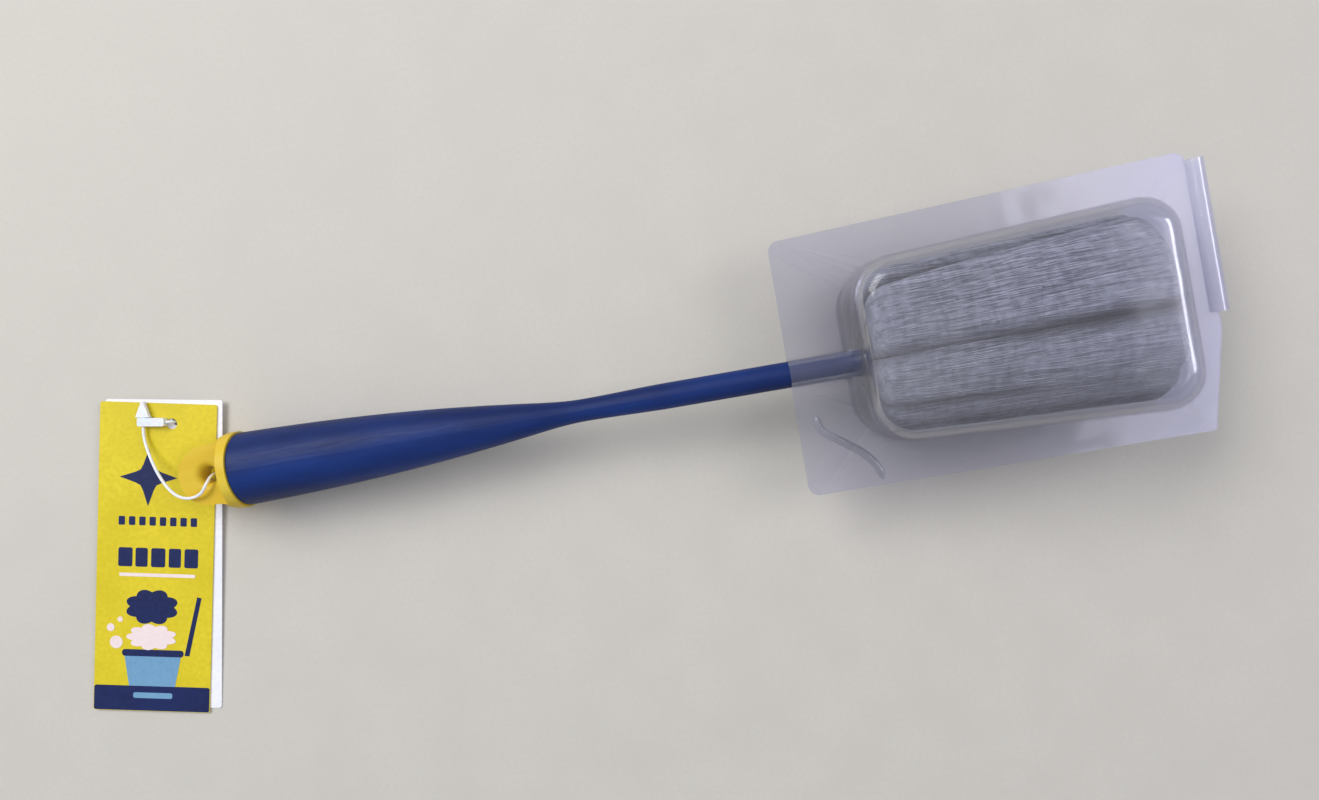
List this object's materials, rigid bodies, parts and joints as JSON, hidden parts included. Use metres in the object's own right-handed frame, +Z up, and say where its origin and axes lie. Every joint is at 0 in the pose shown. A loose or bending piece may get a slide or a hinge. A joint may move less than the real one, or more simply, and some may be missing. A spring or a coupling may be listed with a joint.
{
  "type": "hand duster in a clear cover",
  "caption": "Hand duster with a tapered moulded handle, a hanging eye, a soft fibre head in a clear hinged cover and hang cards on a nylon loop.",
  "frame": {"origin": "On the surface that the duster lies on, at the middle of the cover base's flat bottom.", "axes": "+X runs from the hanging eye to the head, +Y to the left of that seen from above, +Z up from the surface."},
  "size_m": [0.4625, 0.1523, 0.071],
  "materials": {
    "blue_polypropylene": "smooth moulded polypropylene, satin gloss",
    "yellow_polypropylene": "smooth moulded polypropylene, satin gloss",
    "dark_polypropylene": "moulded polypropylene, near black",
    "pin_steel": "plain steel pin",
    "backing_felt": "needled felt tape",
    "grey_fibre": "fine combed synthetic fibre, lying lengthwise",
    "clear_film": "thin clear thermoformed film, glossy, slightly hazy",
    "white_card": "uncoated white card",
    "printed_card": "coated card, printed with plain shapes",
    "nylon": "natural translucent nylon"
  },
  "bodies": {
    "duster": {"handle": "blue_polypropylene", "end_cap": "yellow_polypropylene", "head_core": "dark_polypropylene", "head_lock_pin": "pin_steel", "core_tip": "dark_polypropylene", "backing_sleeve": "backing_felt", "fibre_lobe_1": "grey_fibre", "fibre_lobe_2": "grey_fibre", "fibre_lobe_3": "grey_fibre", "fibre_lobe_4": "grey_fibre", "fibre_lobe_5": "grey_fibre", "fibre_lobe_6": "grey_fibre", "fibre_lobe_7": "grey_fibre", "fibre_lobe_8": "grey_fibre", "cover_base": "clear_film"},
    "cover_lid": {"cover_lid": "clear_film"},
    "tag_back": {"tag_back_card": "white_card", "tag_loop": "nylon", "loop_socket": "nylon", "loop_arrow": "nylon"},
    "tag_front": {"tag_front_card": "printed_card"}
  },
  "joints": [
    {"name": "cover_fold", "type": "hinge", "parent": "duster", "child": "cover_lid", "pos_m": [0.0821, 0, 0.03762], "axis": [0, 1, 0], "range_deg": [0, 170]},
    {"name": "tag_swing", "type": "hinge", "parent": "duster", "child": "tag_back", "pos_m": [-0.30741, 0.0004, 0.01443], "axis": [0, 0, 1], "range_deg": [-40, 40]},
    {"name": "tag_fan", "type": "hinge", "parent": "tag_back", "child": "tag_front", "pos_m": [-0.32683, 0.0238, 0.00209], "axis": [0, -0.0175, 0.9998], "range_deg": [-25, 10]}
  ]
}
